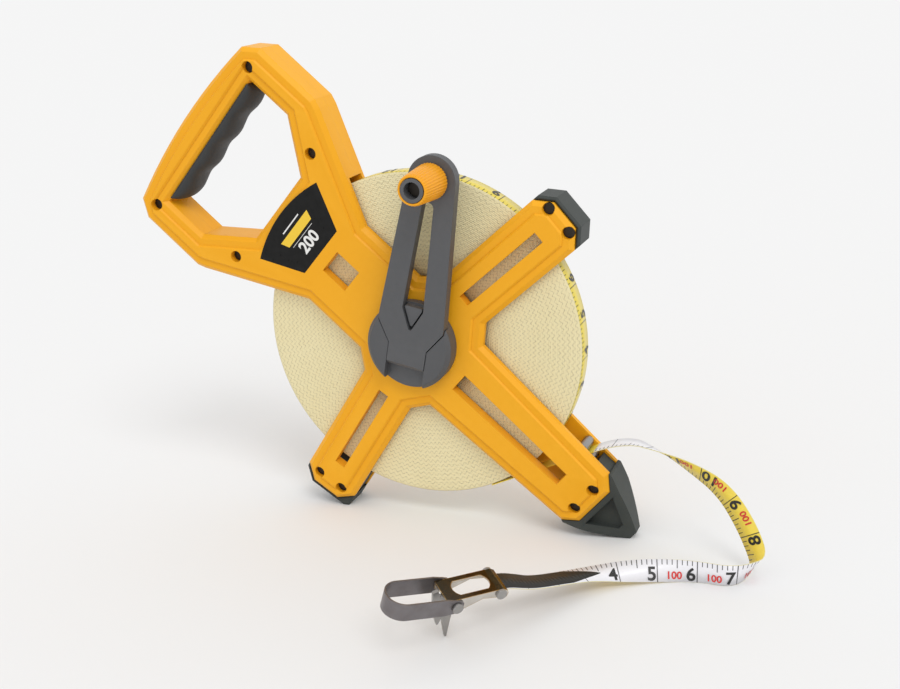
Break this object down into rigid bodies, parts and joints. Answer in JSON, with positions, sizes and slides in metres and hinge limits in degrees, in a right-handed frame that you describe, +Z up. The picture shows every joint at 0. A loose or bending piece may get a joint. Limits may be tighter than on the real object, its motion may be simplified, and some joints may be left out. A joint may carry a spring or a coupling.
{
  "type": "surveyor tape reel",
  "caption": "Open-frame surveyor tape reel with a D-shaped carry handle, folding crank, pointed foot and hooked tape end.",
  "frame": {"origin": "middle of the base of the box round the reel, without the free tape and its hook, which lie beside it on the ground", "axes": "+Z up as the reel stands on its lower cap and nose, -Y the way the crank faces, +X towards the nose and the tape mouth"},
  "size_m": [0.3984, 0.1933, 0.2933],
  "materials": {
    "frame_yellow": "moulded, satin edges",
    "dark_rubber": "matte",
    "crank_grey": "fine moulded",
    "knob_orange": "fluted",
    "knob_ring": "smooth",
    "label": "plain printed",
    "tape": "coated fibreglass",
    "winding": "edges of the tape turns",
    "leader": "dull",
    "steel": "brushed",
    "bright": "polished",
    "drum": "moulded",
    "bush": "turned",
    "screw": "dark zinc"
  },
  "bodies": {
    "frame": {"front_frame": "frame_yellow", "rear_frame": "frame_yellow", "label_plate": "label", "frame_screws": "screw", "handle_grip": "dark_rubber", "upper_end_cap": "dark_rubber", "lower_end_cap": "dark_rubber", "nose_spike": "dark_rubber", "roller_pin_inner": "steel", "roller_pin_outer": "steel", "front_bush": "bush", "rear_bush": "bush", "tape_lead": "tape", "free_tape": "tape", "tape_leader": "leader", "hook_bracket": "bright", "rear_rivet": "steel", "front_rivet": "steel"},
    "reel": {"axle": "steel", "spool_core": "drum", "tape_roll": "winding", "rear_retainer": "crank_grey", "crank_hub": "crank_grey", "crank_hinge_pin": "steel", "hub_screw": "screw"},
    "crank": {"crank_arm": "crank_grey", "knob_spindle": "steel", "knob_screw": "screw"},
    "knob": {"crank_knob": "knob_orange", "knob_sleeve": "knob_ring"},
    "roller_inner": {"guide_roller_inner": "steel"},
    "roller_outer": {"guide_roller_outer": "steel"},
    "ring": {"hook_ring": "steel"},
    "claw": {"hook_claw": "steel"}
  },
  "joints": [
    {"name": "reel_spin", "type": "hinge", "parent": "frame", "child": "reel", "pos_m": [0.02635, 0.0182, 0.1185], "axis": [0, -1, 0], "continuous": true},
    {"name": "crank_fold", "type": "hinge", "parent": "reel", "child": "crank", "pos_m": [0.02431, -0.00585, 0.10871], "axis": [0.9789, 0, -0.2045], "range_deg": [0, 110]},
    {"name": "knob_spin", "type": "hinge", "parent": "crank", "child": "knob", "pos_m": [0.04752, 0.0182, 0.21981], "axis": [0, -1, 0], "continuous": true},
    {"name": "roller_inner_spin", "type": "hinge", "parent": "frame", "child": "roller_inner", "pos_m": [0.12734, 0.0182, 0.05605], "axis": [0, -1, 0], "continuous": true},
    {"name": "roller_outer_spin", "type": "hinge", "parent": "frame", "child": "roller_outer", "pos_m": [0.13053, 0.0182, 0.04905], "axis": [0, -1, 0], "continuous": true},
    {"name": "ring_swing", "type": "hinge", "parent": "frame", "child": "ring", "pos_m": [0.0946, -0.12509, 0.0272], "axis": [0.6991, -0.6728, -0.2419], "range_deg": [-60, 15]},
    {"name": "claw_swing", "type": "hinge", "parent": "frame", "child": "claw", "pos_m": [0.0946, -0.12509, 0.0272], "axis": [0.6991, -0.6728, -0.2419], "range_deg": [-10, 10]}
  ]
}
